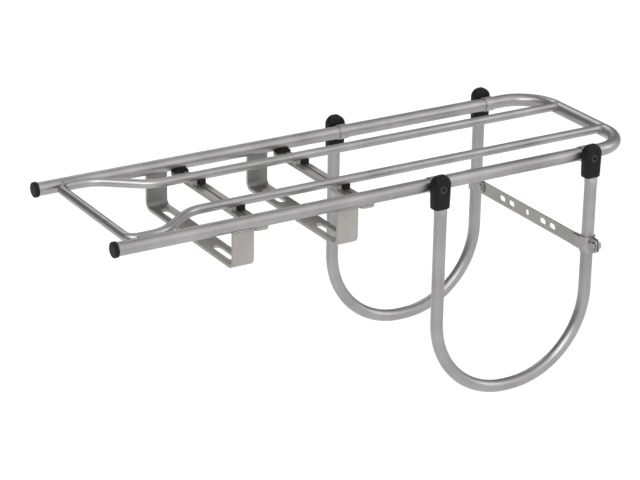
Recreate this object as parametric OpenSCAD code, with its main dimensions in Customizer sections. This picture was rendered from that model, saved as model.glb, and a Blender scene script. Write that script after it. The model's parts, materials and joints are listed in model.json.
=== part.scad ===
// Rear luggage rack: tube deck, rod loop, two slotted brackets and two fold-out pannier hoops.
// +X points to the rear, +Y to the far side, +Z up. The origin is the middle of the front
// bracket's pair of slots, on the bracket's underside. All sizes are in millimetres.

/* [Deck tube] */
// outside diameter of the deck tube
rail_d = 12; // [11:0.5:12]
// wall of the deck tube
tube_wall = 1.2; // [1:0.1:1.5]
// distance between the two rails' axes
rail_gap = 152; // [146:1:160]
// from the front bracket's middle forward to the tube's open ends
front_reach = 115; // [110:1:125]
// from the front bracket's middle back to the rear cross run's axis
rear_reach = 403; // [398:0.5:420]
// bend radius of the two rear corners, on the tube's axis
rear_bend = 37; // [28:1:38]
// height of the rails' axis above the brackets' undersides
deck_z = 39; // [36:1:44]

/* [Rod loop] */
// diameter of the inner rod
rod_d = 8; // [7:0.5:8]
// distance between the two long rods' axes
rod_gap = 70; // [60:1:80]
// how far the rod's front bar sits behind the tube's open ends
bar_back = 16; // [13:0.2:18]
// bend radius of the rod's front corners
corner_r = 9; // [7:0.5:12]
// where the S bend starts, behind the tube's open ends
s_start = 36.4; // [32:0.2:42]
// radius of the S bend's two arcs
s_radius = 32; // [26:1:38]

/* [Crossbars and pads] */
// distance from the front bracket's middle to the front crossbar's middle
bar_front_x = 19.4; // [19:0.2:30]
// distance from the front bracket's middle to the rear crossbar's middle
bar_rear_x = 123.2; // [121:0.2:135]
// width of a crossbar along the rack
bar_w = 14; // [12:1:16]
// length of a crossbar across the rack
bar_len = 154; // [152:1:158]
// thickness of a crossbar over its ribs
bar_t = 3.4; // [2.8:0.2:4]
// length of a rail pad along the rack
pad_len = 13.6; // [12:0.2:15]

/* [Brackets] */
// distance between the two brackets' middles
bracket_pitch = 101.4; // [96:0.2:101.4]
// width of the bracket's flat bar
flat_w = 20; // [18:1:20]
// thickness of the bracket's flat bar
flat_t = 3; // [2.5:0.5:3.5]
// outer bend radius of the bracket
flat_bend = 8; // [7:0.5:11]
// distance between the middles of the bracket's legs
leg_gap = 156; // [154:1:157]
// width of a slot
slot_w = 8; // [6:0.5:9]
// length of a slot, end to end
slot_len = 36; // [28:1:40]
// distance between the two slots' middles
slot_pitch = 94; // [88:1:98]

/* [Side hoops] */
// outside diameter of the hoop tube
hoop_d = 11; // [10:0.5:11]
// distance between the two hoops' middle planes
hoop_gap = 178; // [178:1:184]
// front leg's axis behind the front bracket's middle
leg_front_x = 189; // [186:0.5:200]
// rear leg's axis behind the front bracket's middle
leg_rear_x = 350; // [348:0.5:354]
// depth of the hoop's bottom axis below the rails' axis
hoop_drop = 204; // [196:1:230]
// bend radius of the hoop's lower corners
hoop_bend = 78; // [50:1:78]

/* [Caps and ring clips] */
// width of a cap along the rack, at its round top
cap_w = 17.2; // [16.6:0.2:17.6]
// width of a cap along the rack, at its foot
cap_foot_w = 15.8; // [15.4:0.2:16.4]
// from the screw's axis up to the cap's top
cap_rise = 12.6; // [12.2:0.2:13]
// from the screw's axis down to the cap's foot
cap_drop = 18.5; // [17:0.5:19.5]
// diameter of the cap screw
screw_d = 5; // [4:0.5:5]
// radial gap between a ring clip and the rail it turns on
turn_gap = 0.05; // [0.02:0.01:0.1]

/* [Strap] */
// height of the perforated strap
strap_h = 12.8; // [12:0.2:14]
// thickness of the perforated strap
strap_t = 1.4; // [1.2:0.1:1.8]
// strap's middle line below the rails' axis
strap_drop = 83; // [80:1:95]
// diameter of the strap's middle hole
hole_d = 6; // [5:0.2:6.4]
// width of the strap's four slots
strap_slot_w = 5.6; // [5:0.1:6]
// length of the strap's four slots, end to end
strap_slot_len = 9.5; // [8:0.5:10]
// distance between the strap's outer slots
hole_outer = 80; // [76:1:84]
// distance between the strap's inner slots
hole_inner = 50; // [46:1:54]

/* [Hidden] */
$fn = 48;
rail_r = rail_d / 2;
rod_r = rod_d / 2;
hoop_r = hoop_d / 2;
rail_y = rail_gap / 2;
hoop_y = hoop_gap / 2;
rod_y = rod_gap / 2;
front_x = -front_reach;
rod_z = deck_z + rail_r - rod_r;
// the rod runs beside the rail with a hair of weld gap, its top flush with the rail's top
side_dy = sqrt(pow(rail_r + rod_r + 0.03, 2) - pow(rod_z - deck_z, 2));
side_y = round((rail_y - side_dy) * 100) / 100;
rod_front_x = front_x + bar_back;
s_x0 = front_x + s_start;
// the S bend's middle stretch slopes 3 in 4
s_angle = atan2(3, 4);
s_shift = side_y - rod_y;
s_run = round((s_shift - 0.4 * s_radius) / 0.6 * 100) / 100;
s_x1 = s_x0 + 1.2 * s_radius + 0.8 * s_run;
// crossbar levels: the rails rest on the bars, the rods stand on pads
bar_top = deck_z - rail_r;
pad_end = 7.2;
pad_h = 1.8;
rod_pad_x = -1.4;
rod_pad_len = 7;
rod_pad_w = 5.4;
bar_bot = bar_top - bar_t;
rib_w = (bar_w - 2) / 2;
// hoop levels
hoop_z = deck_z - hoop_drop;
crimp_z0 = deck_z - 26;
crimp_z1 = deck_z - 12.5;
tongue_t = 3.6;
tongue_w = 13.6;
ring_in = rail_r + turn_gap;
ring_out = ring_in + 0.7;
ring_w = 9;
boss_out = ring_out + 2.2;
tongue_y0 = rail_y + boss_out;
tongue_y1 = tongue_y0 + tongue_t;
cap_y0 = rail_y + ring_out + 0.35;
cap_y1 = hoop_y + 4.4;
cap_round = 3.4;
head_d = 8;
head_y0 = cap_y1 - 3.2;
// strap and clamp levels, in X measured from the rear leg's axis
strap_z = deck_z - strap_drop;
strap_x = -2.8;
ear_t = 1.5;
ear_gap = strap_t + 0.2;
clamp_out = hoop_r + 1.5;
// inboard ears grip the strap; outboard ears meet in the leg's own plane, a little higher
front_ear_x = strap_x - ear_gap / 2 - ear_t;
back_ear_x = strap_x + ear_gap / 2;
bolt_ear_gap = 1.2;
bolt_front_x = -bolt_ear_gap / 2 - ear_t;
bolt_back_x = bolt_ear_gap / 2;
pivot_in = clamp_out + strap_h / 2 + 0.6;
bolt_out = 11.5;
bolt_up = 2;
nut_t = 2.4;
strap_ear_h = strap_h - 1.4;
bolt_d = 4;
rivet_d = 4;

// a round bar along X
module bar_x(x0, x1, y, z, d) {
    translate([x0, y, z])
        rotate([0, 90, 0])
            cylinder(h = x1 - x0, d = d);
}

// a round bar along Y
module bar_y(y0, y1, x, z, d) {
    translate([x, y0, z])
        rotate([-90, 0, 0])
            cylinder(h = y1 - y0, d = d);
}

// a bend in the XY plane round (x, y), from angle a0 through sweep
module bend_flat(x, y, z, r, a0, sweep, d) {
    translate([x, y, z])
        rotate([0, 0, a0])
            rotate_extrude(angle = sweep, $fn = 96)
                translate([r, 0])
                    circle(d = d);
}

// a bend in the XZ plane round (x, z), from angle a0 through sweep
module bend_up(x, y, z, r, a0, sweep, d) {
    translate([x, y, z])
        rotate([90, 0, 0])
            rotate([0, 0, a0])
                rotate_extrude(angle = sweep, $fn = 96)
                    translate([r, 0])
                        circle(d = d);
}

// mirror to the near side (-Y) when side is -1
module to_side(side) {
    if (side < 0)
        mirror([0, 1, 0])
            children();
    else
        children();
}

// ---- deck ----

module deck_run(d, extra) {
    for (side = [-1, 1])
        to_side(side) {
            bar_x(front_x - extra, rear_reach - rear_bend, rail_y, deck_z, d);
            bend_flat(rear_reach - rear_bend, rail_y - rear_bend, deck_z, rear_bend, 0, 90, d);
        }
    bar_y(-(rail_y - rear_bend), rail_y - rear_bend, rear_reach, deck_z, d);
}

module outer_tube() {
    color([0.66, 0.66, 0.67])
        difference() {
            deck_run(rail_d, 0);
            deck_run(rail_d - 2 * tube_wall, 1);
        }
}

// steps along a bent rod: each draws its piece and moves on to its end
module run_straight(l) {
    rotate([0, 90, 0])
        cylinder(h = l, d = rod_d);
    translate([l, 0, 0])
        children();
}

module run_right(r, a) {
    translate([0, -r, 0])
        rotate([0, 0, 90 - a])
            rotate_extrude(angle = a, $fn = 96)
                translate([r, 0])
                    circle(d = rod_d);
    translate([0, -r, 0])
        rotate([0, 0, -a])
            translate([0, r, 0])
                children();
}

module run_left(r, a) {
    translate([0, r, 0])
        rotate([0, 0, -90])
            rotate_extrude(angle = a, $fn = 96)
                translate([r, 0])
                    circle(d = rod_d);
    translate([0, r, 0])
        rotate([0, 0, a])
            translate([0, -r, 0])
                children();
}

// half of the loop, from the middle of the front bar to the rear cross run
module rod_side() {
    translate([rod_front_x, 0, rod_z])
        rotate([0, 0, 90])
            run_straight(side_y - corner_r)
                run_right(corner_r, 90)
                    run_straight(s_x0 - rod_front_x - corner_r)
                        run_right(s_radius, s_angle)
                            run_straight(s_run)
                                run_left(s_radius, s_angle)
                                    run_straight(rear_reach - s_x1);
}

module rod_loop() {
    color([0.68, 0.68, 0.69])
        difference() {
            union() {
                to_side(1)
                    rod_side();
                to_side(-1)
                    rod_side();
            }
            bar_y(-rail_y, rail_y, rear_reach, deck_z, rail_d);
        }
}

// a plug: a round-edged flange and a shank that fills the tube's bore
module plug(side) {
    bore_r = rail_r - tube_wall;
    color([0.09, 0.09, 0.09])
        translate([front_x, side * rail_y, deck_z])
            rotate([0, -90, 0])
                rotate_extrude()
                    union() {
                        translate([0, -12])
                            square([bore_r, 12]);
                        square([rail_r + 0.8, 2.6]);
                        square([rail_r - 0.4, 3.8]);
                        translate([rail_r - 0.4, 2.6])
                            circle(r = 1.2);
                    }
}

// ---- crossbars and their pads ----

module crossbar(x) {
    end_r = 4;
    color([0.64, 0.64, 0.63])
        translate([x, 0, bar_bot])
            difference() {
                union() {
                    translate([-bar_w / 2, -bar_len / 2 + end_r, 0])
                        cube([bar_w, bar_len - 2 * end_r, bar_t]);
                    translate([-bar_w / 2 + end_r, -bar_len / 2, 0])
                        cube([bar_w - 2 * end_r, bar_len, bar_t]);
                    for (sx = [-1, 1], sy = [-1, 1])
                        translate([sx * (bar_w / 2 - end_r), sy * (bar_len / 2 - end_r), 0])
                            cylinder(h = bar_t, r = end_r);
                }
                translate([rib_w - bar_w / 2, -bar_len / 2 + 7, bar_t - 1.2])
                    cube([2, bar_len - 14, 2]);
                translate([-bar_w / 2 + 1.4, -bar_len / 2 + 7, -1])
                    cube([bar_w - 2.8, bar_len - 14, 1.9]);
            }
}

// a pad in the corner between a crossbar and the inner side of a rail
module rail_pad(x, side) {
    color([0.10, 0.10, 0.10])
        to_side(side)
            difference() {
                translate([x + pad_end - pad_len, rail_y - 8.5, bar_top])
                    cube([pad_len, 6.5, pad_h]);
                bar_x(x - 20, x + 20, rail_y, deck_z, rail_d);
            }
}

// a small wedge block between a crossbar and a rod
module rod_pad(x, side) {
    color([0.10, 0.10, 0.10])
        to_side(side)
            difference() {
                translate([x + rod_pad_x, rod_y - rod_pad_w / 2, bar_top])
                    cube([rod_pad_len, rod_pad_w, rod_z - bar_top - 2.6]);
                bar_x(x - 20, x + 20, rod_y, rod_z, rod_d);
                translate([x + rod_pad_x, rod_y, bar_top + 2])
                    rotate([0, -24, 0])
                        translate([-20, -10, -3])
                            cube([20, 20, 12]);
            }
}

// ---- brackets ----

module bracket(x) {
    half = leg_gap / 2 + flat_t / 2;
    leg_top = deck_z - 1.6;
    inner_r = flat_bend - flat_t;
    color([0.67, 0.66, 0.63])
        translate([x - flat_w / 2, 0, 0])
            difference() {
                union() {
                    translate([0, -half + flat_bend, 0])
                        cube([flat_w, 2 * (half - flat_bend), flat_t]);
                    for (side = [-1, 1])
                        to_side(side) {
                            translate([0, half - flat_t, flat_bend])
                                cube([flat_w, flat_t, leg_top - flat_bend]);
                            translate([0, half - flat_bend, flat_bend])
                                bracket_bend(inner_r);
                        }
                }
                for (side = [-1, 1])
                    bar_x(-1, flat_w + 1, side * rail_y, deck_z, rail_d);
                for (side = [-1, 1])
                    slot_cut(side * slot_pitch / 2);
            }
}

module bracket_bend(inner_r) {
    intersection() {
        rotate([0, 90, 0])
            difference() {
                cylinder(h = flat_w, r = flat_bend);
                translate([0, 0, -1])
                    cylinder(h = flat_w + 2, r = inner_r);
            }
        translate([-1, 0, -flat_bend - 1])
            cube([flat_w + 2, flat_bend + 1, flat_bend + 1]);
    }
}

module slot_cut(y) {
    translate([flat_w / 2 - slot_w / 2, y - (slot_len - slot_w) / 2, -1])
        cube([slot_w, slot_len - slot_w, flat_t + 2]);
    for (s = [-1, 1])
        translate([flat_w / 2, y + s * (slot_len - slot_w) / 2, -1])
            cylinder(h = flat_t + 2, d = slot_w);
}

// ---- hoops ----

module hoop_run(d) {
    low = hoop_z + hoop_bend;
    bend_up(leg_front_x + hoop_bend, hoop_y, low, hoop_bend, 180, 90, d);
    bend_up(leg_rear_x - hoop_bend, hoop_y, low, hoop_bend, 270, 90, d);
    bar_x(leg_front_x + hoop_bend, leg_rear_x - hoop_bend, hoop_y, hoop_z, d);
    for (x = [leg_front_x, leg_rear_x])
        translate([x, hoop_y, low])
            cylinder(h = crimp_z0 - low, d = d);
}

// the leg's flattened end: a flared cone pressed between two sloped faces, then a
// round-topped tongue with the screw's hole
module leg_end(x) {
    h = crimp_z1 - crimp_z0;
    low = tongue_y0 - hoop_y;
    high = tongue_y1 - hoop_y;
    intersection() {
        translate([x, hoop_y, crimp_z0])
            cylinder(h = h, d1 = hoop_d, d2 = tongue_w + 1.5);
        translate([x - tongue_w / 2, hoop_y, crimp_z0])
            rotate([90, 0, 90])
                linear_extrude(tongue_w)
                    polygon([[-hoop_r - 0.3, 0], [hoop_r + 0.3, 0], [high, h], [low, h]]);
    }
    difference() {
        union() {
            translate([x - tongue_w / 2, tongue_y0, crimp_z1])
                cube([tongue_w, tongue_t, deck_z - crimp_z1]);
            bar_y(tongue_y0, tongue_y1, x, deck_z, tongue_w);
        }
        bar_y(tongue_y0 - 1, tongue_y1 + 1, x, deck_z, screw_d);
    }
}

module hoop(side) {
    color([0.66, 0.66, 0.66])
        to_side(side) {
            difference() {
                hoop_run(hoop_d);
                hoop_run(hoop_d - 2 * tube_wall);
            }
            leg_end(leg_front_x);
            leg_end(leg_rear_x);
        }
}

// a ring clip that turns on the rail, with a threaded boss for the cap screw
module ring_clip(x, side) {
    color([0.60, 0.60, 0.60])
        to_side(side)
            difference() {
                union() {
                    bar_x(x - ring_w / 2, x + ring_w / 2, rail_y, deck_z, 2 * ring_out);
                    bar_y(rail_y + ring_in + 0.4, tongue_y0, x, deck_z, 9);
                }
                bar_x(x - ring_w, x + ring_w, rail_y, deck_z, 2 * ring_in);
                bar_y(rail_y + ring_in - 1, tongue_y0 + 1, x, deck_z, screw_d);
            }
}

// a plastic cap over the leg's end: tapered body, top rounded both ways, recess for the screw
module cap(x, side) {
    color([0.10, 0.10, 0.10])
        to_side(side)
            difference() {
                intersection() {
                    cap_face(x);
                    cap_profile(x);
                    cap_plan(x);
                }
                // way in for the ring clip's boss
                bar_y(cap_y0 - 1, tongue_y0, x, deck_z, 9);
                // socket for the flattened leg
                translate([x - tongue_w / 2, tongue_y0, deck_z - 14])
                    cube([tongue_w, tongue_t, 14]);
                bar_y(tongue_y0, tongue_y1, x, deck_z, tongue_w);
                translate([x - tongue_w / 2, hoop_y - 4.9, deck_z - 40])
                    cube([tongue_w, 7.2, 28]);
                // screw
                bar_y(tongue_y0, cap_y1 + 1, x, deck_z, screw_d);
                bar_y(head_y0, cap_y1 + 1, x, deck_z, head_d + 0.8);
            }
}

// the cap's outline seen from the side of the rack
module cap_face(x) {
    r = cap_w / 2;
    foot_r = cap_foot_w / 2;
    dome_z = deck_z + cap_rise - r;
    low_z = deck_z - cap_drop;
    bar_y(cap_y0, cap_y1, x, dome_z, cap_w);
    translate([x, cap_y1, 0])
        rotate([90, 0, 0])
            linear_extrude(cap_y1 - cap_y0)
                polygon([[-foot_r, low_z], [foot_r, low_z], [r, deck_z], [r, dome_z], [-r, dome_z], [-r, deck_z]]);
}

// the cap's outline seen along the rack, rounded over its top
module cap_profile(x) {
    low_z = deck_z - cap_drop - 1;
    round_z = deck_z + cap_rise - cap_round;
    depth = cap_y1 - cap_y0;
    translate([x - 10, cap_y0, low_z])
        cube([20, depth, round_z - low_z]);
    translate([x - 10, cap_y0 + cap_round, low_z])
        cube([20, depth - 2 * cap_round, deck_z + cap_rise - low_z]);
    for (y = [cap_y0 + cap_round, cap_y1 - cap_round])
        bar_x(x - 10, x + 10, y, round_z, 2 * cap_round);
}

// the cap's outline seen from above, with its two outer edges rounded
module cap_plan(x) {
    r = cap_w / 2;
    edge_r = 2.6;
    low_z = deck_z - cap_drop - 1;
    depth = cap_y1 - cap_y0;
    translate([x - r, cap_y0 - 1, low_z])
        cube([cap_w, depth + 1 - edge_r, 40]);
    translate([x - r + edge_r, cap_y0 - 1, low_z])
        cube([cap_w - 2 * edge_r, depth + 1, 40]);
    for (s = [-1, 1])
        translate([x + s * (r - edge_r), cap_y1 - edge_r, low_z])
            cylinder(h = 40, r = edge_r);
}

module cap_screw(x) {
    difference() {
        union() {
            bar_y(rail_y + ring_in + 0.5, head_y0, x, deck_z, screw_d);
            bar_y(head_y0, head_y0 + 2.8, x, deck_z, head_d);
        }
        translate([x, head_y0 + 1, deck_z])
            rotate([-90, 0, 0])
                cylinder(h = 4, d = 3.6, $fn = 6);
    }
}

module cap_screws(side) {
    color([0.14, 0.14, 0.14])
        to_side(side) {
            cap_screw(leg_front_x);
            cap_screw(leg_rear_x);
        }
}

// ---- strap and leg clamps ----

// a flat ear in the plane across the rack, between two distances across it
module ear_plate(x0, y0, y1, z, h) {
    r = 4;
    translate([leg_rear_x + x0, 0, z])
        union() {
            translate([0, y0 + r, -h / 2])
                cube([ear_t, y1 - y0 - 2 * r, h]);
            translate([0, y0, -h / 2 + r])
                cube([ear_t, y1 - y0, h - 2 * r]);
            for (y = [y0 + r, y1 - r], z = [-h / 2 + r, h / 2 - r])
                translate([0, y, z])
                    rotate([0, 90, 0])
                        cylinder(h = ear_t, r = r);
        }
}

// a half of the leg clamp, with its ear for the strap and its ear for the bolt; its band
// lies in front of (-1) or behind (1) the two gaps
module clamp_half(side, dir, strap_ear_x, bolt_ear_x, pivot_hole) {
    y_in = hoop_y - pivot_in - 5.4;
    y_out = hoop_y + bolt_out + 4.4;
    color([0.66, 0.66, 0.67])
        to_side(side)
            difference() {
                union() {
                    ear_plate(strap_ear_x, y_in, hoop_y, strap_z, strap_ear_h);
                    ear_plate(bolt_ear_x, hoop_y, y_out, strap_z + bolt_up, strap_h);
                    intersection() {
                        translate([leg_rear_x, hoop_y, strap_z - strap_h / 2])
                            cylinder(h = strap_h + bolt_up, r = clamp_out);
                        union() {
                            band_room(dir, strap_ear_x, hoop_y - 10);
                            band_room(dir, bolt_ear_x, hoop_y);
                        }
                    }
                }
                translate([leg_rear_x, hoop_y, strap_z - 10])
                    cylinder(h = 20, r = hoop_r);
                bar_x(leg_rear_x - 10, leg_rear_x + 10, hoop_y + bolt_out, strap_z + bolt_up, bolt_d);
                if (pivot_hole)
                    bar_x(leg_rear_x - 10, leg_rear_x + 10, hoop_y - pivot_in, strap_z, rivet_d);
            }
}

// the space that a clamp half's band may fill beside one of its ears
module band_room(dir, ear_x, y0) {
    x0 = dir < 0 ? -clamp_out - 1 : ear_x;
    x1 = dir < 0 ? ear_x + ear_t : clamp_out + 1;
    translate([leg_rear_x + x0, y0, strap_z - 10])
        cube([x1 - x0, 10, 20]);
}

module clamp_front(side, pivot_hole) {
    clamp_half(side, -1, front_ear_x, bolt_front_x, pivot_hole);
}

module clamp_back(side, pivot_hole) {
    clamp_half(side, 1, back_ear_x, bolt_back_x, pivot_hole);
}

module clamp_bolt(side) {
    color([0.62, 0.62, 0.62])
        to_side(side)
            translate([leg_rear_x, hoop_y + bolt_out, strap_z + bolt_up]) {
                bar_x(bolt_front_x, bolt_back_x + ear_t + nut_t + 0.8, 0, 0, bolt_d);
                bar_x(bolt_front_x - 2.4, bolt_front_x, 0, 0, 7.4);
            }
}

module clamp_nut(side) {
    x0 = bolt_back_x + ear_t;
    color([0.62, 0.62, 0.62])
        to_side(side)
            translate([leg_rear_x + x0, hoop_y + bolt_out, strap_z + bolt_up])
                rotate([0, 90, 0])
                    difference() {
                        cylinder(h = nut_t, d = 8.08, $fn = 6);
                        translate([0, 0, -1])
                            cylinder(h = 6, d = bolt_d);
                    }
}

// the perforated strap: a round end on the far pivot, a plain end in the near clamp
module strap() {
    y_pivot = hoop_y - pivot_in;
    y_near = -(hoop_y - clamp_out - 0.9);
    x0 = leg_rear_x + strap_x - strap_t / 2;
    x1 = x0 + strap_t;
    slots = [-hole_outer / 2, -hole_inner / 2, hole_inner / 2, hole_outer / 2];
    color([0.67, 0.66, 0.63])
        difference() {
            union() {
                translate([x0, y_near, strap_z - strap_h / 2])
                    cube([strap_t, y_pivot - y_near, strap_h]);
                bar_x(x0, x1, y_pivot, strap_z, strap_h);
            }
            for (y = slots)
                strap_slot(x0 - 1, x1 + 1, y);
            bar_x(x0 - 1, x1 + 1, 0, strap_z, hole_d);
            bar_x(x0 - 1, x1 + 1, y_pivot, strap_z, rivet_d + 0.1);
        }
}

module strap_slot(x0, x1, y) {
    reach = (strap_slot_len - strap_slot_w) / 2;
    for (s = [-1, 1])
        bar_x(x0, x1, y + s * reach, strap_z, strap_slot_w);
    translate([x0, y - reach, strap_z - strap_slot_w / 2])
        cube([x1 - x0, 2 * reach, strap_slot_w]);
}

module strap_rivet() {
    y = hoop_y - pivot_in;
    x0 = leg_rear_x + front_ear_x;
    x1 = leg_rear_x + back_ear_x + ear_t;
    color([0.62, 0.62, 0.62])
        union() {
            bar_x(x0 - 1.2, x0, y, strap_z, 7);
            bar_x(x0, x1, y, strap_z, rivet_d);
            bar_x(x1, x1 + 1.2, y, strap_z, 7);
        }
}

outer_tube();
rod_loop();
plug(-1);  // plug_near
plug(1);  // plug_far
crossbar(bar_front_x);  // crossbar_front
crossbar(bar_rear_x);  // crossbar_rear
rail_pad(bar_front_x, -1);  // rail_pad_front_near
rail_pad(bar_front_x, 1);  // rail_pad_front_far
rail_pad(bar_rear_x, -1);  // rail_pad_rear_near
rail_pad(bar_rear_x, 1);  // rail_pad_rear_far
rod_pad(bar_front_x, -1);  // rod_pad_front_near
rod_pad(bar_front_x, 1);  // rod_pad_front_far
rod_pad(bar_rear_x, -1);  // rod_pad_rear_near
rod_pad(bar_rear_x, 1);  // rod_pad_rear_far
bracket(0);  // bracket_front
bracket(bracket_pitch);  // bracket_rear
hoop(-1);  // hoop_near
hoop(1);  // hoop_far
cap(leg_front_x, -1);  // cap_near_front
cap(leg_rear_x, -1);  // cap_near_rear
cap(leg_front_x, 1);  // cap_far_front
cap(leg_rear_x, 1);  // cap_far_rear
ring_clip(leg_front_x, -1);  // ring_near_front
ring_clip(leg_rear_x, -1);  // ring_near_rear
ring_clip(leg_front_x, 1);  // ring_far_front
ring_clip(leg_rear_x, 1);  // ring_far_rear
cap_screws(-1);  // cap_screws_near
cap_screws(1);  // cap_screws_far
clamp_front(-1, false);  // clamp_front_near
clamp_back(-1, false);  // clamp_back_near
clamp_front(1, true);  // clamp_front_far
clamp_back(1, true);  // clamp_back_far
clamp_bolt(-1);  // clamp_bolt_near
clamp_bolt(1);  // clamp_bolt_far
clamp_nut(-1);  // clamp_nut_near
clamp_nut(1);  // clamp_nut_far
strap();
strap_rivet();
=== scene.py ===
import json
import math

import bmesh
import bpy
from mathutils import Matrix, Vector, noise


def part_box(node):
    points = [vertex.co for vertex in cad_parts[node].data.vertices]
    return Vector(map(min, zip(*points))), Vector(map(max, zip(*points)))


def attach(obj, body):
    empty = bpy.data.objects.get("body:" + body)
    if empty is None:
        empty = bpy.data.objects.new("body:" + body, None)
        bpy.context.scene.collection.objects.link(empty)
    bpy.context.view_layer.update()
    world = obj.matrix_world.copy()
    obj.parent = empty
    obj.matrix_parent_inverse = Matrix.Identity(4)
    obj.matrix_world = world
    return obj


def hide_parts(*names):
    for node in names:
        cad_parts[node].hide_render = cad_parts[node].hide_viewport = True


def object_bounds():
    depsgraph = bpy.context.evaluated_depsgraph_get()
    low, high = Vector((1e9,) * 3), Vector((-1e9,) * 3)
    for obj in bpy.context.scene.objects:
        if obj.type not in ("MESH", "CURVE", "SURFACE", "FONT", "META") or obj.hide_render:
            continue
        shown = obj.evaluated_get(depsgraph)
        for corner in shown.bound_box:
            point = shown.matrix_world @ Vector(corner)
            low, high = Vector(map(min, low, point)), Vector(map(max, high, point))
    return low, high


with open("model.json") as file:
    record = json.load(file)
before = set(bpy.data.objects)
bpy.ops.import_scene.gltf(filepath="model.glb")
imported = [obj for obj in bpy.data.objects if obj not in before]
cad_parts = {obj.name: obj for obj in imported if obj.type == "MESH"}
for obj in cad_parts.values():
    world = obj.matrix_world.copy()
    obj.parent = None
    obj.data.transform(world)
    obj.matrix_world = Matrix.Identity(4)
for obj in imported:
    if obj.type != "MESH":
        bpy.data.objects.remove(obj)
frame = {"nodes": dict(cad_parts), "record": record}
CAD_BOX = [list(map(float, corner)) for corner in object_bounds()]
BODIES = frame["record"]["behaviour"]["bodies"]
NODE_BODY = {node: body for body, nodes in BODIES.items() for node in nodes}
NODE_SLOT = {s["node"]: s["material_slot"] for s in frame["record"]["subparts"]}
MM = 0.001

# ---- sizes in millimetres, read from the CAD nodes' boxes where a box gives them ----


def node_box(node):
    low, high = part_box(node)
    return [v / MM for v in low], [v / MM for v in high]


tube_low, tube_high = node_box("outer_tube")
hoop_low, hoop_high = node_box("hoop_far")
RAIL_R = (tube_high[2] - tube_low[2]) / 2
RAIL_Z = (tube_high[2] + tube_low[2]) / 2
RAIL_Y = tube_high[1] - RAIL_R
RAIL_X0 = tube_low[0]
REAR_X = tube_high[0] - RAIL_R
REAR_BEND = 37.0
TUBE_WALL = 1.2
ROD_R = 4.0
ROD_Z = RAIL_Z + RAIL_R - ROD_R
ROD_Y = 35.0
ROD_TOUCH = RAIL_R + ROD_R + 0.03
ROD_SIDE_Y = RAIL_Y - math.sqrt(ROD_TOUCH**2 - (ROD_Z - RAIL_Z) ** 2)
ROD_BACK = 16.0
ROD_CORNER = 9.0
S_START = 36.4
S_RADIUS = 32.0
SLOPE_SIN = 0.6
SLOPE_COS = 0.8
S_SLOPE = math.degrees(math.atan2(SLOPE_SIN, SLOPE_COS))
HOOP_R = (hoop_high[1] - hoop_low[1]) / 2
HOOP_Y = (hoop_high[1] + hoop_low[1]) / 2
HOOP_Z = hoop_low[2] + HOOP_R
LEG_XF = 189.0
LEG_XR = 350.0
HOOP_BEND = 78.0
CRIMP_Z0 = RAIL_Z - 26.0
CRIMP_Z1 = RAIL_Z - 12.5
TONGUE_HALF_W = 6.8
TONGUE_T = 3.6
CRIMP_SLACK = 0.2
CRIMP_EDGE = 0.4
CREASE_DEPTH = 0.5
CREASE_HALF_W = 0.6
CREASE_END = 0.8
RING_GAP = 0.05
RING_WALL = 0.7
CAP_WALL = 2.2
CAP_W = 17.2
CAP_FOOT_W = 15.8
CAP_ROUND_OUT = 4.0
CAP_ROUND_IN = 9.0
CAP_FOOT_EDGE = 1.1
CAP_DOME = 0.72
SCREW_BORE_R = 4.5
SCREW_BORE_DEPTH = 3.2
BRACKET_X = (0.0, 101.4)
BRACKET_HALF_W = 10.0
BRACKET_LEG_Y = (76.5, 79.5)
CROSSBAR_X = (19.4, 123.2)
CROSSBAR_TOP = RAIL_Z - RAIL_R
TUBE_SIDES = 40
ROD_SIDES = 32
HOOP_SIDES = 64
CAP_SIDES = 56

# ---- materials ----


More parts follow.
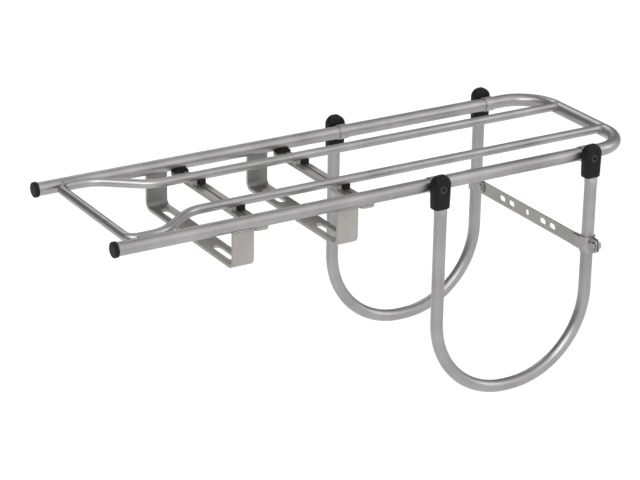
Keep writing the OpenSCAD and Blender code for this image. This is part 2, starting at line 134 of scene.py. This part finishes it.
class Nodes:
    """A small helper that adds and links shader nodes in one material."""

    def __init__(self, name):
        self.mat = bpy.data.materials.new(name)
        self.mat.use_nodes = True
        self.tree = self.mat.node_tree
        self.bsdf = self.tree.nodes["Principled BSDF"]

    def add(self, kind, inputs=None, **props):
        node = self.tree.nodes.new(kind)
        for key, value in props.items():
            setattr(node, key, value)
        for key, value in (inputs or {}).items():
            self.feed(node.inputs[key], value)
        return node

    def feed(self, socket, value):
        """Link a socket to this input, or set the input to a plain value."""
        if isinstance(value, bpy.types.NodeSocket):
            self.tree.links.new(value, socket)
        else:
            socket.default_value = value

    def coords(self, attribute, scale):
        """Object coordinates, or the swept tube's own (along, across, across)."""
        if attribute:
            source = self.add("ShaderNodeAttribute", attribute_name=attribute).outputs["Vector"]
        else:
            source = self.add("ShaderNodeTexCoord").outputs["Object"]
        return self.add(
            "ShaderNodeMapping", {"Vector": source, "Scale": scale}
        ).outputs["Vector"]

    def noise(self, vector, scale, detail=3.0, rough=0.55):
        return self.add(
            "ShaderNodeTexNoise",
            {"Vector": vector, "Scale": scale, "Detail": detail, "Roughness": rough},
        ).outputs["Fac"]

    def ramp(self, fac, stops):
        node = self.add("ShaderNodeValToRGB", {"Fac": fac})
        elements = node.color_ramp.elements
        while len(elements) < len(stops):
            elements.new(0.5)
        for element, (pos, colour) in zip(elements, stops):
            element.position = pos
            element.color = (*colour, 1.0)
        return node.outputs["Color"]

    def span(self, fac, low, high):
        return self.add(
            "ShaderNodeMapRange", {"Value": fac, "To Min": low, "To Max": high}
        ).outputs["Result"]

    def mix(self, fac, a, b, blend="MIX"):
        node = self.add("ShaderNodeMix", data_type="RGBA", blend_type=blend)
        for index, value in ((0, fac), (6, a), (7, b)):
            self.feed(node.inputs[index], value)
        return node.outputs[2]

    def maths(self, operation, a, b=0.0):
        node = self.add("ShaderNodeMath", operation=operation)
        for index, value in ((0, a), (1, b)):
            self.feed(node.inputs[index], value)
        return node.outputs[0]

    def bump(self, height, strength, distance, normal=None):
        inputs = {"Height": height, "Strength": strength, "Distance": distance}
        if normal is not None:
            inputs["Normal"] = normal
        return self.add("ShaderNodeBump", inputs).outputs["Normal"]

    def plug(self, socket, value):
        self.feed(self.bsdf.inputs[socket], value)


def inner_shade_mask(n):
    """1 on faces that look towards the middle of the rack, 0 elsewhere: the mask for painted shade
    on those inner faces.
    """
    place = n.add("ShaderNodeSeparateXYZ", {0: n.add("ShaderNodeTexCoord").outputs["Object"]})
    face = n.add("ShaderNodeSeparateXYZ", {0: n.add("ShaderNodeTexCoord").outputs["Normal"]})
    product = n.maths("MULTIPLY", n.maths("SIGN", place.outputs["Y"]), face.outputs["Y"])
    return n.add(
        "ShaderNodeMapRange", {"Value": product, "From Min": -0.2, "From Max": -0.9}
    ).outputs["Result"]


def plated_steel(name, attribute, dark, light, rough, grain, inner_shade=1.0):
    """Bright plated steel: soft cloudy tone, fine lines along the piece, tiny specks; below 1, the
    last value paints shade on faces that look towards the middle of the rack.
    """
    n = Nodes(name)
    cloud = n.noise(n.coords(attribute, (1, 1, 1)), 26.0, 4.0)
    lines = n.noise(n.coords(attribute, grain), 1.0, 2.0, 0.6)
    speck = n.noise(n.coords(attribute, (1, 1, 1)), 1500.0, 1.0)
    tone = n.ramp(cloud, [(0.32, dark), (0.68, light)])
    streak = n.ramp(lines, [(0.35, (0.86, 0.86, 0.86)), (0.65, (1.0, 1.0, 1.0))])
    plated = n.mix(0.8, tone, streak, "MULTIPLY")
    # painted shade: faces that look towards the middle of the rack are darkened and made slightly
    # bluer, as if the rack shaded them
    if inner_shade < 1.0:
        shade = (inner_shade, inner_shade, inner_shade * 1.03, 1.0)
        plated = n.mix(1.0, plated, n.mix(inner_shade_mask(n), (1.0, 1.0, 1.0, 1.0), shade), "MULTIPLY")
    n.plug("Base Color", plated)
    n.plug("Metallic", 1.0)
    rough_lines = n.span(lines, rough - 0.05, rough + 0.07)
    rough_cloud = n.span(cloud, -0.05, 0.06)
    n.plug("Roughness", n.maths("ADD", rough_lines, rough_cloud))
    first = n.bump(lines, 0.16, 0.00006)
    n.plug("Normal", n.bump(speck, 0.10, 0.00005, first))
    return n.mat


def moulded_black(name, tone, rough, pebble_scale, pebble):
    """Moulded plastic or rubber: pebbled grain, slightly shiny where it is smooth."""
    n = Nodes(name)
    where = n.coords("", (1, 1, 1))
    pebbles = n.add(
        "ShaderNodeTexVoronoi", {"Vector": where, "Scale": pebble_scale}
    ).outputs["Distance"]
    fine = n.noise(where, pebble_scale * 2.2, 3.0)
    cloud = n.noise(where, 90.0, 3.0)
    dark = tuple(0.7 * c for c in tone)
    light = tuple(1.35 * c for c in tone)
    n.plug("Base Color", n.ramp(cloud, [(0.3, dark), (0.7, light)]))
    n.plug("Roughness", n.span(fine, rough - 0.08, rough + 0.12))
    n.plug("Specular IOR Level", 0.15)
    first = n.bump(pebbles, pebble, 0.00012)
    n.plug("Normal", n.bump(fine, pebble * 0.6, 0.00005, first))
    return n.mat


TUBE = "tube_co"
MATS = {
    "tube_steel": plated_steel(
        "tube_steel_swept", TUBE, (0.29, 0.283, 0.282), (0.375, 0.367, 0.365), 0.36,
        (9.0, 900.0, 900.0)
    ),
    # flat steel: 0.62 is painted shade on its faces that look towards the middle of the rack
    "flat_steel": plated_steel(
        "flat_steel_brushed_inner_shade", "", (0.335, 0.322, 0.298), (0.405, 0.39, 0.362), 0.46,
        (700.0, 45.0, 700.0), 0.62
    ),
    "hardware_steel": plated_steel(
        "hardware_steel_plated", "", (0.30, 0.293, 0.29), (0.385, 0.377, 0.372), 0.40,
        (300.0, 300.0, 300.0)
    ),
    "black_steel": moulded_black("black_steel_screw", (0.022, 0.022, 0.022), 0.40, 2600.0, 0.15),
    "black_plastic": moulded_black(
        "black_plastic_grain", (0.0060, 0.0058, 0.0056), 0.52, 1500.0, 0.45
    ),
    "black_rubber": moulded_black("black_rubber_pad", (0.009, 0.009, 0.009), 0.62, 1100.0, 0.5),
}
WELD = plated_steel(
    "weld_steel", "", (0.24, 0.232, 0.225), (0.34, 0.33, 0.315), 0.46, (400.0, 400.0, 400.0)
)

# ---- mesh helpers ----


def new_object(name, bm, material, body, smooth_angle=math.radians(35)):
    mesh = bpy.data.meshes.new(name)
    bm.to_mesh(mesh)
    bm.free()
    obj = bpy.data.objects.new(name, mesh)
    bpy.context.scene.collection.objects.link(obj)
    mesh.materials.append(material)
    for poly in mesh.polygons:
        poly.use_smooth = True
    mesh.set_sharp_from_angle(angle=smooth_angle)
    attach(obj, body)
    return obj


def arc(centre, u, v, radius, start, sweep, steps):
    """Points on an arc in the plane of u and v, both ends included."""
    points = []
    for i in range(steps + 1):
        a = math.radians(start + sweep * i / steps)
        points.append(centre + radius * (math.cos(a) * u + math.sin(a) * v))
    return points


def line(a, b, step):
    count = max(1, round((b - a).length / step))
    return [a.lerp(b, i / count) for i in range(count)]


def sweep(bm, points, radius, sides, caps=True):
    """A round bar along points; each vertex keeps its own (along, across, across) place."""
    layer = bm.verts.layers.float_vector.get(TUBE) or bm.verts.layers.float_vector.new(TUBE)
    normal = None
    along = 0.0
    rings = []
    for i, p in enumerate(points):
        ahead = points[min(i + 1, len(points) - 1)]
        behind = points[max(i - 1, 0)]
        tangent = (ahead - behind).normalized()
        if normal is None:
            pick = Vector((0, 0, 1)) if abs(tangent.z) < 0.9 else Vector((0, 1, 0))
            normal = (pick - tangent * pick.dot(tangent)).normalized()
        else:
            normal = (normal - tangent * normal.dot(tangent)).normalized()
            along += (p - points[i - 1]).length
        other = tangent.cross(normal)
        ring = []
        for k in range(sides):
            a = 2 * math.pi * k / sides
            across, up = radius * math.cos(a), radius * math.sin(a)
            vert = bm.verts.new((p + across * normal + up * other) * MM)
            vert[layer] = Vector((along, across, up)) * MM
            ring.append(vert)
        rings.append(ring)
    for a, b in zip(rings, rings[1:]):
        for k in range(sides):
            bm.faces.new((a[k], a[(k + 1) % sides], b[(k + 1) % sides], b[k]))
    if caps:
        bm.faces.new(list(reversed(rings[0])))
        bm.faces.new(rings[-1])
    return rings


X, Y, Z = Vector((1, 0, 0)), Vector((0, 1, 0)), Vector((0, 0, 1))

# ---- deck tube ----


def rail_path():
    """The deck tube's axis, from the near open end round the rear to the far one."""
    corner = REAR_X - REAR_BEND
    inner = RAIL_Y - REAR_BEND
    near_start, near_end = Vector((RAIL_X0, -RAIL_Y, RAIL_Z)), Vector((corner, -RAIL_Y, RAIL_Z))
    points = line(near_start, near_end, 12)
    points += arc(Vector((corner, -inner, RAIL_Z)), X, Y, REAR_BEND, -90, 90, 22)
    points += line(Vector((REAR_X, -inner, RAIL_Z)), Vector((REAR_X, inner, RAIL_Z)), 12)[1:]
    points += arc(Vector((corner, inner, RAIL_Z)), X, Y, REAR_BEND, 0, 90, 22)
    far_end = Vector((RAIL_X0, RAIL_Y, RAIL_Z))
    points += line(Vector((corner, RAIL_Y, RAIL_Z)), far_end, 12)[1:] + [far_end]
    return points


def make_deck_tube():
    """The outer tube, hollow, with a flat ring of faces at each open end."""
    bm = bmesh.new()
    path = rail_path()
    outer = sweep(bm, path, RAIL_R, TUBE_SIDES, caps=False)
    inner = sweep(bm, path, RAIL_R - TUBE_WALL, TUBE_SIDES, caps=False)
    for end in (0, -1):
        for k in range(TUBE_SIDES):
            j = (k + 1) % TUBE_SIDES
            bm.faces.new((outer[end][k], outer[end][j], inner[end][j], inner[end][k]))
    bmesh.ops.recalc_face_normals(bm, faces=bm.faces)
    tube = new_object("deck_tube", bm, MATS["tube_steel"], "rack")
    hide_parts("outer_tube")


make_deck_tube()

# ---- rod loop ----


def walk(start, heading, steps):
    """Points along a path in the deck's plane: steps are (length,) or (radius, turn angle)."""
    points = [start.copy()]
    here, angle = start.copy(), heading
    for step in steps:
        ahead = math.cos(angle) * X + math.sin(angle) * Y
        if len(step) == 1:
            count = max(1, round(step[0] / 10.0))
            points += [here + ahead * (step[0] * (k + 1) / count) for k in range(count)]
            here = here + ahead * step[0]
            continue
        radius, turn = step[0], math.radians(step[1])
        side = 1.0 if turn > 0 else -1.0
        centre = here + side * radius * Vector((-ahead.y, ahead.x, 0.0))
        arm = here - centre
        count = max(6, round(abs(step[1]) / 5.0))
        for k in range(count):
            spin = Matrix.Rotation(turn * (k + 1) / count, 3, "Z")
            points.append(centre + spin @ arm)
        here = points[-1].copy()
        angle += turn
    return points


def rod_path():
    """The rod's axis, from the near rear end round the front bar to the far rear end."""
    step_in = ROD_SIDE_Y - ROD_Y
    slope_run = (step_in - 2 * S_RADIUS * (1 - SLOPE_COS)) / SLOPE_SIN
    s_end = RAIL_X0 + S_START + 2 * S_RADIUS * SLOPE_SIN + slope_run * SLOPE_COS
    half = walk(
        Vector((RAIL_X0 + ROD_BACK, 0.0, ROD_Z)),
        math.radians(90),
        [
            (ROD_SIDE_Y - ROD_CORNER,),
            (ROD_CORNER, -90.0),
            (S_START - ROD_BACK - ROD_CORNER,),
            (S_RADIUS, -S_SLOPE),
            (slope_run,),
            (S_RADIUS, S_SLOPE),
            (REAR_X - 1.0 - s_end,),
        ],
    )
    near = [Vector((p.x, -p.y, p.z)) for p in reversed(half)]
    return near + half[1:]


def make_rod():
    bm = bmesh.new()
    sweep(bm, rod_path(), ROD_R, ROD_SIDES)
    bmesh.ops.recalc_face_normals(bm, faces=bm.faces)
    rod = new_object("rod_bent", bm, MATS["tube_steel"], "rack")
    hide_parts("rod_loop")


make_rod()

# ---- side hoops ----


def soft_min(a, b, blend):
    """The smaller of two numbers, with a rounded change between them."""
    h = min(1.0, max(0.0, 0.5 + 0.5 * (b - a) / blend))
    return b + (a - b) * h - blend * h * (1.0 - h)


def hoop_path():
    """The hoop's axis in its own plane, from inside the front cap to inside the rear one."""
    top, fine, low = RAIL_Z - 1.5, CRIMP_Z0 - 3, HOOP_Z + HOOP_BEND
    points = line(Vector((LEG_XF, 0, top)), Vector((LEG_XF, 0, fine)), 0.8)
    points += line(Vector((LEG_XF, 0, fine)), Vector((LEG_XF, 0, low)), 10)
    points += arc(Vector((LEG_XF + HOOP_BEND, 0, low)), X, Z, HOOP_BEND, 180, 90, 30)
    points += arc(Vector((LEG_XR - HOOP_BEND, 0, low)), X, Z, HOOP_BEND, 270, 90, 30)
    points += line(Vector((LEG_XR, 0, low)), Vector((LEG_XR, 0, fine)), 10)[1:]
    points += line(Vector((LEG_XR, 0, fine)), Vector((LEG_XR, 0, top)), 0.8)
    return points + [Vector((LEG_XR, 0, top))]


def crimp(place, outer_y, inner_y):
    """Press a leg's end flat: two sloping planes cut the tube, and it spreads along X."""
    t = min(1.0, (place.z - CRIMP_Z0) / (CRIMP_Z1 - CRIMP_Z0))
    leg_x = LEG_XF if place.x < (LEG_XF + LEG_XR) / 2 else LEG_XR
    spread = 1.0 + (TONGUE_HALF_W / HOOP_R - 1.0) * t * t * (3.0 - 2.0 * t)
    round_y = HOOP_R + CRIMP_SLACK
    outer = round_y + (outer_y - round_y) * t
    inner = -round_y + (inner_y + round_y) * t
    y = soft_min(place.y, outer, CRIMP_EDGE)
    y = -soft_min(-y, -inner, CRIMP_EDGE)
    if place.y > 0 and t < CREASE_END:
        y -= CREASE_DEPTH * math.exp(-(((place.y - outer) / CREASE_HALF_W) ** 2))
    return Vector((leg_x + (place.x - leg_x) * spread, y, place.z))


def make_hoop(side, node, body):
    """One hoop: a bent tube whose two leg ends are pressed flat inside their caps."""
    bm = bmesh.new()
    sweep(bm, hoop_path(), HOOP_R, HOOP_SIDES)
    inner_y = RAIL_Y + RAIL_R + RING_GAP + RING_WALL + CAP_WALL - HOOP_Y
    for vert in bm.verts:
        place = vert.co / MM
        if place.z > CRIMP_Z0:
            place = crimp(place, inner_y + TONGUE_T, inner_y)
        vert.co = Vector((place.x, side * (place.y + HOOP_Y), place.z)) * MM
    bmesh.ops.recalc_face_normals(bm, faces=bm.faces)
    hoop = new_object(node + "_bent", bm, MATS["tube_steel"], body)
    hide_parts(node)


make_hoop(-1, "hoop_near", "near_hoop")
make_hoop(1, "hoop_far", "far_hoop")

# ---- leg caps ----


def cap_ring(x, y, half_x, half_y, z):
    """One level of a cap seen from above: rounder corners outside than beside the rail."""
    ring = []
    for k in range(CAP_SIDES):
        a = 2 * math.pi * k / CAP_SIDES
        c, s = math.cos(a), math.sin(a)
        power = CAP_ROUND_OUT if s * y > 0 else CAP_ROUND_IN
        size = (abs(c) ** power + abs(s) ** power) ** (-1 / power)
        ring.append(Vector((x + half_x * size * c, y + half_y * size * s, z)))
    return ring


def cap_levels(low, high):
    """Height, half width and half depth of each level, from the foot to the crown."""
    foot, half_y = low[2], (high[1] - low[1]) / 2
    crown = high[2] - CAP_W / 2
    levels = []
    for rise, inset in ((0.0, CAP_FOOT_EDGE), (0.3, 0.5)):
        levels.append((foot + rise, CAP_FOOT_W / 2 - inset, half_y - inset))
    side_foot, side_steps = foot + CAP_FOOT_EDGE, 8
    for k in range(side_steps + 1):
        z = side_foot + (crown - side_foot) * k / side_steps
        t = min(1.0, (z - foot) / (RAIL_Z - foot))
        levels.append((z, (CAP_FOOT_W + (CAP_W - CAP_FOOT_W) * t) / 2, half_y))
    dome_steps = 17
    for k in range(1, dome_steps):
        a = math.pi / 2 * k / dome_steps
        depth = half_y * math.cos(a) ** CAP_DOME
        levels.append((crown + CAP_W / 2 * math.sin(a), CAP_W / 2 * math.cos(a), depth))
    return levels


def make_cap(node):
    """A moulded cap, round over its top, with a counterbore for the screw's head."""
    low, high = node_box(node)
    x, y = (low[0] + high[0]) / 2, (low[1] + high[1]) / 2
    bm = bmesh.new()
    rings = []
    for z, half_x, half_y in cap_levels(low, high):
        rings.append([bm.verts.new(p * MM) for p in cap_ring(x, y, half_x, half_y, z)])
    for a, b in zip(rings, rings[1:]):
        for k in range(CAP_SIDES):
            j = (k + 1) % CAP_SIDES
            bm.faces.new((a[k], a[j], b[j], b[k]))
    bm.faces.new(list(reversed(rings[0])))
    bm.faces.new(rings[-1])
    bmesh.ops.recalc_face_normals(bm, faces=bm.faces)
    slot = "black_plastic"
    cap = new_object(node + "_moulded", bm, MATS[slot], NODE_BODY[node], math.radians(50))
    face_y = high[1] if y > 0 else low[1]
    cut_bore(cap, Vector((x, face_y, RAIL_Z)), SCREW_BORE_R, SCREW_BORE_DEPTH)
    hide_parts(node)


def cut_bore(obj, middle, radius, depth):
    """Cut a round pocket round the Y axis into obj's outer face."""
    bm = bmesh.new()
    place = Matrix.Translation(middle * MM) @ Matrix.Rotation(math.radians(90), 4, "X")
    bmesh.ops.create_cone(
        bm, cap_ends=True, segments=48, radius1=radius * MM, radius2=radius * MM,
        depth=2 * depth * MM, matrix=place,
    )
    cutter_mesh = bpy.data.meshes.new("bore")
    bm.to_mesh(cutter_mesh)
    bm.free()
    cutter = bpy.data.objects.new("bore", cutter_mesh)
    bpy.context.scene.collection.objects.link(cutter)
    mod = obj.modifiers.new("bore", "BOOLEAN")
    mod.operation = "DIFFERENCE"
    mod.solver = "EXACT"
    mod.object = cutter
    graph = bpy.context.evaluated_depsgraph_get()
    cut_mesh = bpy.data.meshes.new_from_object(obj.evaluated_get(graph))
    obj.modifiers.clear()
    obj.data = cut_mesh
    bpy.data.objects.remove(cutter)


CAPS = ("cap_near_front", "cap_near_rear", "cap_far_front", "cap_far_rear")
for node in CAPS:
    make_cap(node)

# ---- weld beads ----


def weld_bead(name, points, radius):
    """A row of overlapping beads, a little uneven, along the points."""
    bm = bmesh.new()
    for i, p in enumerate(points):
        size = radius * (1.0 + 0.14 * noise.noise(Vector((i * 0.9, p.y * 0.1, p.x * 0.1))))
        spot = Matrix.Translation(p * MM) @ Matrix.Diagonal((size * MM, size * MM, size * MM, 1.0))
        bmesh.ops.create_icosphere(bm, subdivisions=2, radius=1.0, matrix=spot)
    new_object(name, bm, WELD, "rack")


def straight_bead(name, a, b, radius):
    weld_bead(name, line(a, b, radius * 0.8) + [b], radius)


def rear_rod_bead(side):
    """The weld round a rod where it meets the rear cross run, open at the top."""
    points = []
    for k in range(25):
        a = math.radians(-215 + 250 * k / 24)
        y = side * ROD_Y + ROD_R * math.cos(a)
        z = ROD_Z + ROD_R * math.sin(a)
        reach = math.sqrt(max(0.0, RAIL_R**2 - (z - RAIL_Z) ** 2))
        points.append(Vector((REAR_X - reach - 0.2, y, z)))
    return points


GROOVE_Y = RAIL_Y - RAIL_R + 0.9
BRACKET_BEADS = (("in", BRACKET_LEG_Y[0] - 0.2, 32.9), ("out", BRACKET_LEG_Y[1] + 0.4, 34.0))
for side, place in ((-1, "near"), (1, "far")):
    start = Vector((RAIL_X0 + 23, side * GROOVE_Y, RAIL_Z + 4.0))
    straight_bead("weld_rod_" + place, start, start + 12 * X, 1.5)
    weld_bead("weld_rod_rear_" + place, rear_rod_bead(side), 1.0)
    for index, x in enumerate(BRACKET_X):
        for face, y, z in BRACKET_BEADS:
            start = Vector((x - BRACKET_HALF_W + 1, side * y, z))
            end = start + (2 * BRACKET_HALF_W - 2) * X
            straight_bead(f"weld_bracket_{index}_{face}_{place}", start, end, 1.25)
    for index, x in enumerate(CROSSBAR_X):
        start = Vector((x - 5, side * (RAIL_Y + 1.2), CROSSBAR_TOP + 0.1))
        straight_bead(f"weld_bar_{index}_{place}", start, start + 10 * X, 0.9)
        low = Vector((x - 3.6, side * ROD_Y, CROSSBAR_TOP + 0.6))
        straight_bead(f"weld_post_{index}_{place}", low, low + 3.0 * Z, 2.3)

# ---- every other CAD node: keep it, or stand a softened copy in its place ----


def soften(node, width):
    """A copy of a CAD node with its edges rounded, riding where the node rides."""
    source = frame["nodes"][node]
    bm = bmesh.new()
    bm.from_mesh(source.data)
    bmesh.ops.remove_doubles(bm, verts=bm.verts, dist=2e-6)
    bmesh.ops.dissolve_limit(
        bm, angle_limit=math.radians(1.0), verts=bm.verts, edges=bm.edges
    )
    slot = NODE_SLOT[node]
    obj = new_object(node + "_soft", bm, MATS[slot], NODE_BODY[node])
    mod = obj.modifiers.new("edges", "BEVEL")
    mod.width = width * MM
    mod.segments = 3
    mod.limit_method = "ANGLE"
    mod.angle_limit = math.radians(40)
    mod.harden_normals = True
    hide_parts(node)


SOFT_WIDTH = {
    "bracket": 0.35, "crossbar": 0.45, "plug": 0.3, "strap": 0.18,
    "rail_pad": 0.6, "rod_pad": 0.8, "clamp_front": 0.3, "clamp_back": 0.3, "ring": 0.3,
}
REBUILT = ("outer_tube", "rod_loop", "hoop_near", "hoop_far") + CAPS


def edge_width(node):
    """The rounding for a node's edges, or None where the CAD node stays as it is."""
    if node == "strap_rivet":
        return None
    for start, width in SOFT_WIDTH.items():
        if node.startswith(start):
            return width
    return None


for name, obj in frame["nodes"].items():
    if name in REBUILT:
        continue
    width = edge_width(name)
    if width:
        soften(name, width)
        continue
    obj.data.materials.clear()
    obj.data.materials.append(MATS[NODE_SLOT[name]])

# ---- floor, light, camera ----

FLOOR_DROP = 0.30
FLOOR_HALF = 9
floor_mesh = bpy.data.meshes.new("floor")
floor_z = CAD_BOX[0][2] - FLOOR_DROP
floor_signs = ((-1, -1), (1, -1), (1, 1), (-1, 1))
floor_corners = [(FLOOR_HALF * x, FLOOR_HALF * y, floor_z) for x, y in floor_signs]
floor_mesh.from_pydata(floor_corners, [], [(0, 1, 2, 3)])
floor = bpy.data.objects.new("floor", floor_mesh)
bpy.context.scene.collection.objects.link(floor)
pale = Nodes("floor_pale")
tone = pale.noise(pale.coords("", (1, 1, 1)), 3.0, 2.0)
pale.plug("Base Color", pale.ramp(tone, [(0.2, (0.93, 0.93, 0.93)), (0.8, (0.95, 0.95, 0.95))]))
pale.plug("Roughness", 0.9)
pale.plug("Emission Color", (1.0, 1.0, 1.0, 1.0))
pale.plug("Emission Strength", 0.06)
floor_mesh.materials.append(pale.mat)


def soft_light(name, where, target, size, power):
    data = bpy.data.lights.new(name, "AREA")
    data.shape = "RECTANGLE"
    data.size, data.size_y = size
    data.energy = power
    lamp = bpy.data.objects.new(name, data)
    bpy.context.scene.collection.objects.link(lamp)
    lamp.location = where
    aim = Vector(target) - Vector(where)
    lamp.rotation_euler = aim.to_track_quat("-Z", "Y").to_euler()


CENTRE = (0.15, 0.0, -0.03)
soft_light("key_front", (-1.3, -2.1, 1.75), CENTRE, (2.2, 1.2), 42)
soft_light("top_left", (-1.5, -0.5, 2.3), CENTRE, (1.4, 1.4), 14)
soft_light("right_fill", (2.4, -1.2, 1.1), CENTRE, (0.9, 1.4), 9)
soft_light("floor_back", (0.9, 3.2, 2.6), (0.9, 2.6, -0.45), (2.6, 1.6), 34)


def studio_sky():
    """A sky that is brightest in front and to the right at half height, dim behind."""
    world = bpy.data.worlds.new("studio")
    world.use_nodes = True
    tree = world.node_tree
    direction = tree.nodes.new("ShaderNodeTexCoord")
    facing = tree.nodes.new("ShaderNodeVectorMath")
    facing.operation = "DOT_PRODUCT"
    facing.inputs[1].default_value = Vector((0.42, -0.72, 0.50)).normalized()
    ramp = tree.nodes.new("ShaderNodeValToRGB")
    tree.links.new(direction.outputs["Generated"], facing.inputs[0])
    tree.links.new(facing.outputs["Value"], ramp.inputs["Fac"])
    stops = [(0.0, 0.30), (0.30, 0.40), (0.62, 0.95), (1.0, 1.35)]
    elements = ramp.color_ramp.elements
    while len(elements) < len(stops):
        elements.new(0.5)
    for element, (height, grey) in zip(elements, stops):
        element.position = height
        element.color = (grey, grey, grey * 1.02, 1.0)
    background = tree.nodes["Background"]
    tree.links.new(ramp.outputs["Color"], background.inputs["Color"])
    background.inputs["Strength"].default_value = 1.05
    bpy.context.scene.world = world


studio_sky()
bpy.context.scene.view_settings.view_transform = "Standard"

CAM_PLACE = (-0.9022, -1.6937, 0.7876)
CAM_LENS = 136.04
CAM_AZ, CAM_EL, CAM_ROLL = (math.radians(a) for a in (31.157, 22.377, 0.885))
level = Vector((math.sin(CAM_AZ), math.cos(CAM_AZ), 0.0))
look = math.cos(CAM_EL) * level - math.sin(CAM_EL) * Z
right = Vector((math.cos(CAM_AZ), -math.sin(CAM_AZ), 0.0))
up = right.cross(look)
turned_right = math.cos(CAM_ROLL) * right + math.sin(CAM_ROLL) * up
turned_up = -math.sin(CAM_ROLL) * right + math.cos(CAM_ROLL) * up
cam_data = bpy.data.cameras.new("camera")
cam_data.sensor_width = 36.0
cam_data.lens = CAM_LENS
cam_data.clip_end = 100.0
camera = bpy.data.objects.new("camera", cam_data)
bpy.context.scene.collection.objects.link(camera)
basis = Matrix((turned_right, turned_up, -look)).transposed().to_4x4()
camera.matrix_world = Matrix.Translation(CAM_PLACE) @ basis
bpy.context.scene.camera = camera
